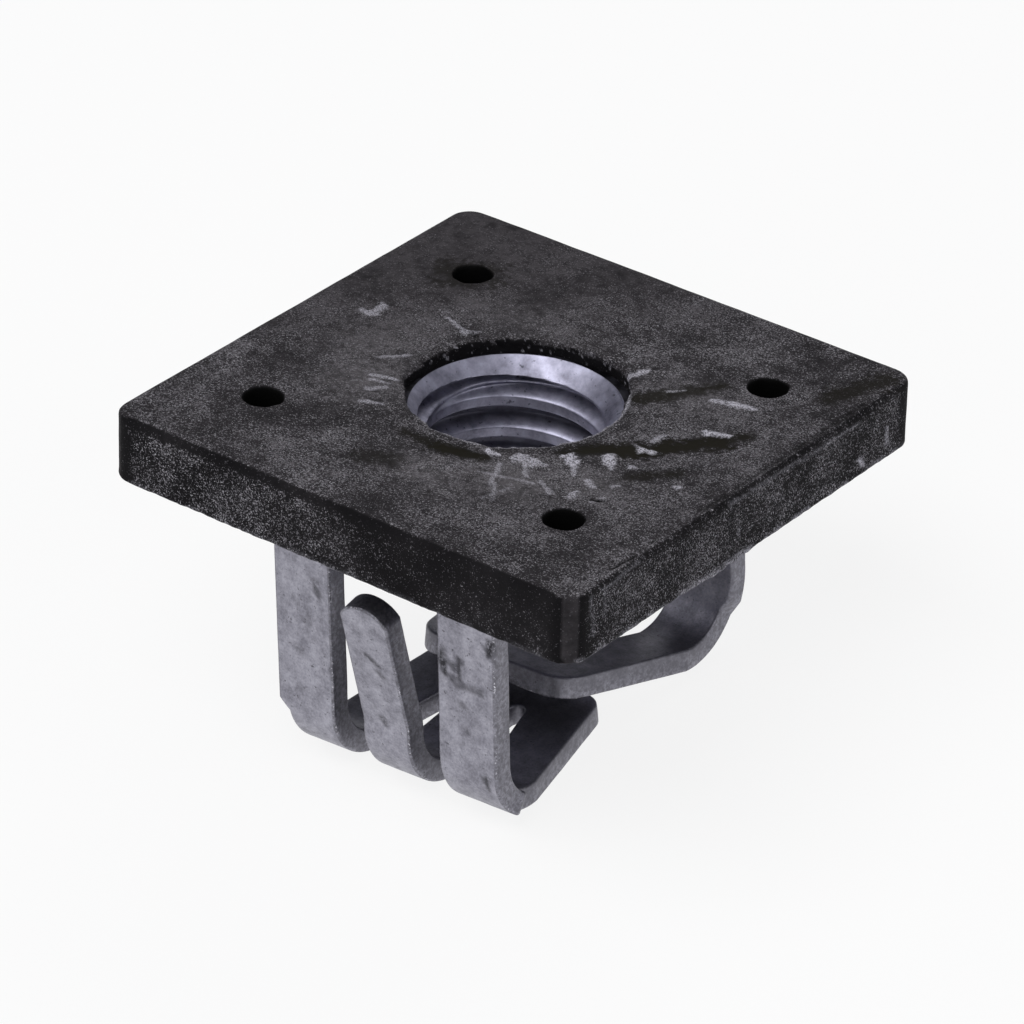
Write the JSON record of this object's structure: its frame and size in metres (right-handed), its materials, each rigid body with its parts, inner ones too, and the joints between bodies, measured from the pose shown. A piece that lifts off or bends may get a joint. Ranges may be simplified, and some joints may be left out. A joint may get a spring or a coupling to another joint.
{
  "type": "padded nut",
  "caption": "Square tube-end nut: black moulded pad, countersunk collar nut and a folded spring clip with lanced grip tongues.",
  "frame": {"origin": "on the thread's axis, in the plane of the pad's underside, where the tube's end seats", "axes": "+Z along the thread and out through the pad's face; the clip's legs stand at -Y (front, the longer one) and +Y (back); +X along the clip's folds"},
  "size_m": [0.0254, 0.0254, 0.0164],
  "materials": {
    "pad_plastic": "moulded, worn matt black",
    "nut_steel": "turned and zinc plated",
    "clip_steel": "zinc-plated sheet, dulled"
  },
  "bodies": {
    "root": {"pad": "pad_plastic", "nut": "nut_steel", "clip": "clip_steel"}
  },
  "joints": []
}
